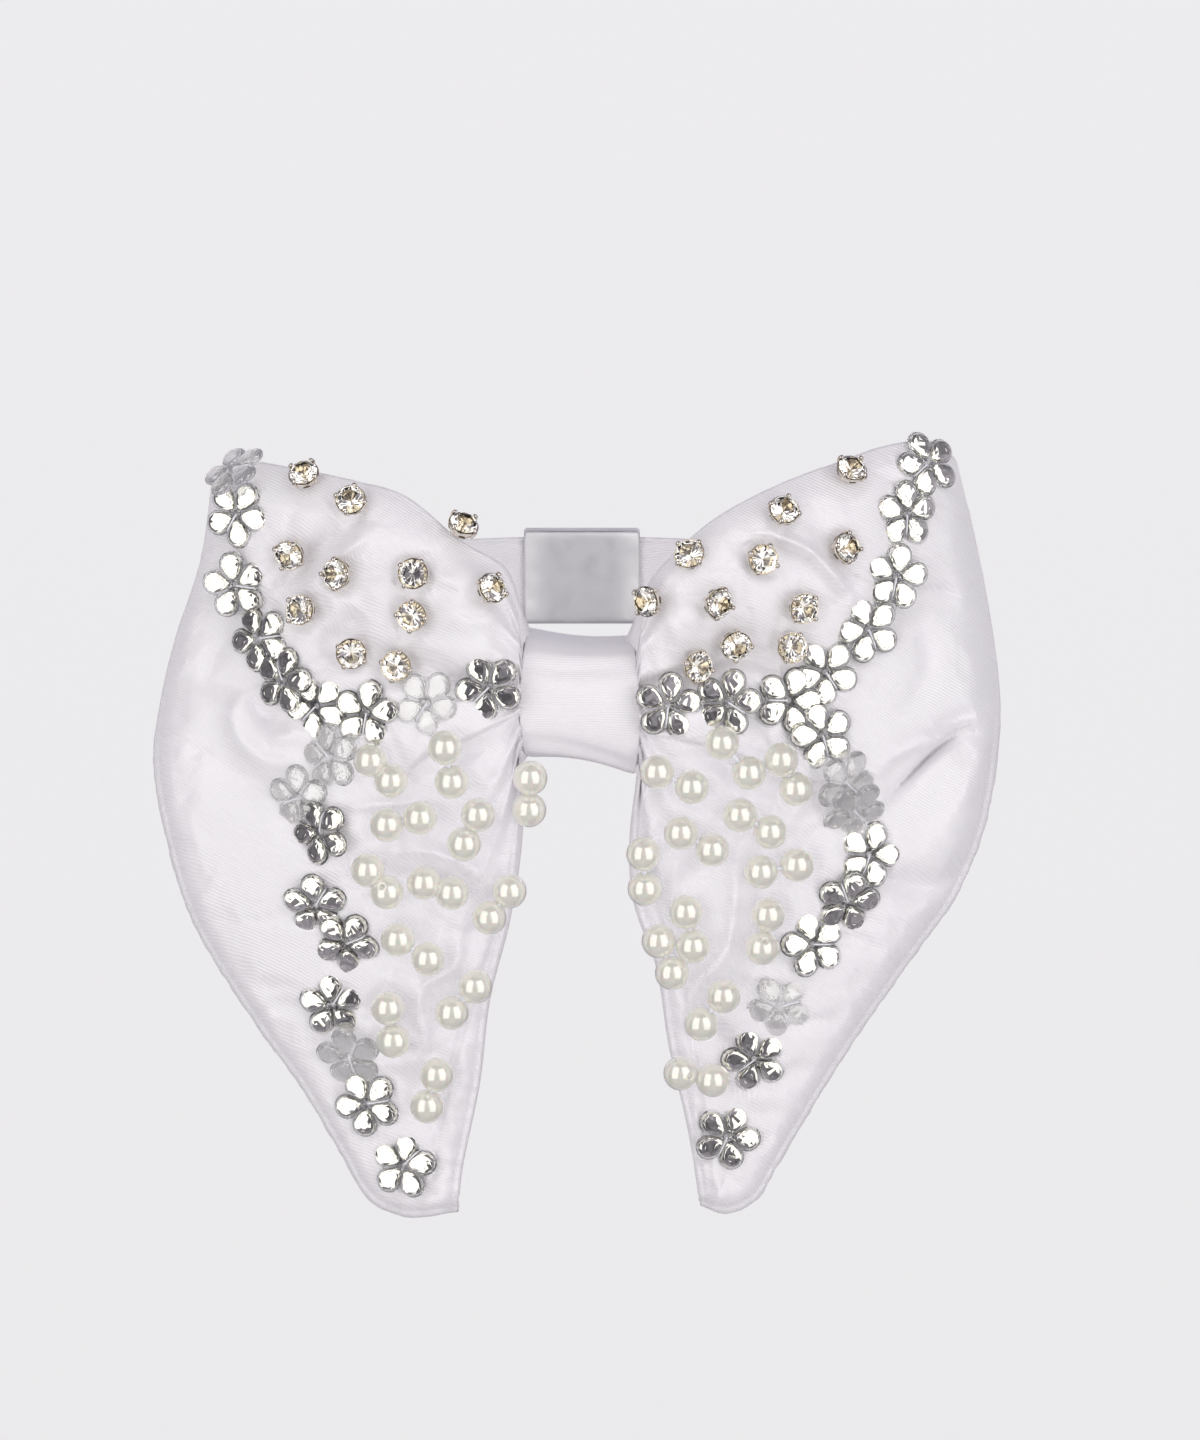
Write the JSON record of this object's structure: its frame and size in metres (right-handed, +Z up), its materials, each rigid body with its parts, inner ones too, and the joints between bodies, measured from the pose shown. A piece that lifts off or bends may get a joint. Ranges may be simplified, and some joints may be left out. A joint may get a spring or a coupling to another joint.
{
  "type": "beaded bow tie",
  "caption": "White satin butterfly bow tie on a neck strap, with two long gathered wings sewn with flower stones, round crystals and pairs of pearls.",
  "frame": {"origin": "middle of the neck loop, level with the middle of the knot", "axes": "+Z up along the neck, -Y towards the face of the bow, +X to the right of the front view"},
  "size_m": [0.1486, 0.1604, 0.1361],
  "materials": {
    "satin": "white satin with a soft sheen",
    "flower_stone": "clear acrylic petals over silver foil",
    "crystal": "cut crystal in a silver claw cup",
    "pearl": "cream pearl lustre",
    "clasp_metal": "polished"
  },
  "bodies": {
    "root": {"knot_wrap": "satin", "neck_strap": "satin", "strap_clasp": "clasp_metal", "left_wing": "satin", "left_flower_trail": "flower_stone", "left_crystal_01": "crystal", "left_crystal_02": "crystal", "left_crystal_03": "crystal", "left_crystal_04": "crystal", "left_crystal_05": "crystal", "left_crystal_06": "crystal", "left_crystal_07": "crystal", "left_crystal_08": "crystal", "left_crystal_09": "crystal", "left_crystal_10": "crystal", "left_crystal_11": "crystal", "left_pearl_pair_01": "pearl", "left_pearl_pair_02": "pearl", "left_pearl_pair_03": "pearl", "left_pearl_pair_04": "pearl", "left_pearl_pair_05": "pearl", "left_pearl_pair_06": "pearl", "left_pearl_pair_07": "pearl", "left_pearl_pair_08": "pearl", "left_pearl_pair_09": "pearl", "left_pearl_pair_10": "pearl", "left_pearl_pair_11": "pearl", "left_pearl_pair_12": "pearl", "right_wing": "satin", "right_flower_trail": "flower_stone", "right_crystal_01": "crystal", "right_crystal_02": "crystal", "right_crystal_03": "crystal", "right_crystal_04": "crystal", "right_crystal_05": "crystal", "right_crystal_06": "crystal", "right_crystal_07": "crystal", "right_crystal_08": "crystal", "right_crystal_09": "crystal", "right_crystal_10": "crystal", "right_crystal_11": "crystal", "right_pearl_pair_01": "pearl", "right_pearl_pair_02": "pearl", "right_pearl_pair_03": "pearl", "right_pearl_pair_04": "pearl", "right_pearl_pair_05": "pearl", "right_pearl_pair_06": "pearl", "right_pearl_pair_07": "pearl", "right_pearl_pair_08": "pearl", "right_pearl_pair_09": "pearl", "right_pearl_pair_10": "pearl", "right_pearl_pair_11": "pearl", "right_pearl_pair_12": "pearl"}
  },
  "joints": []
}
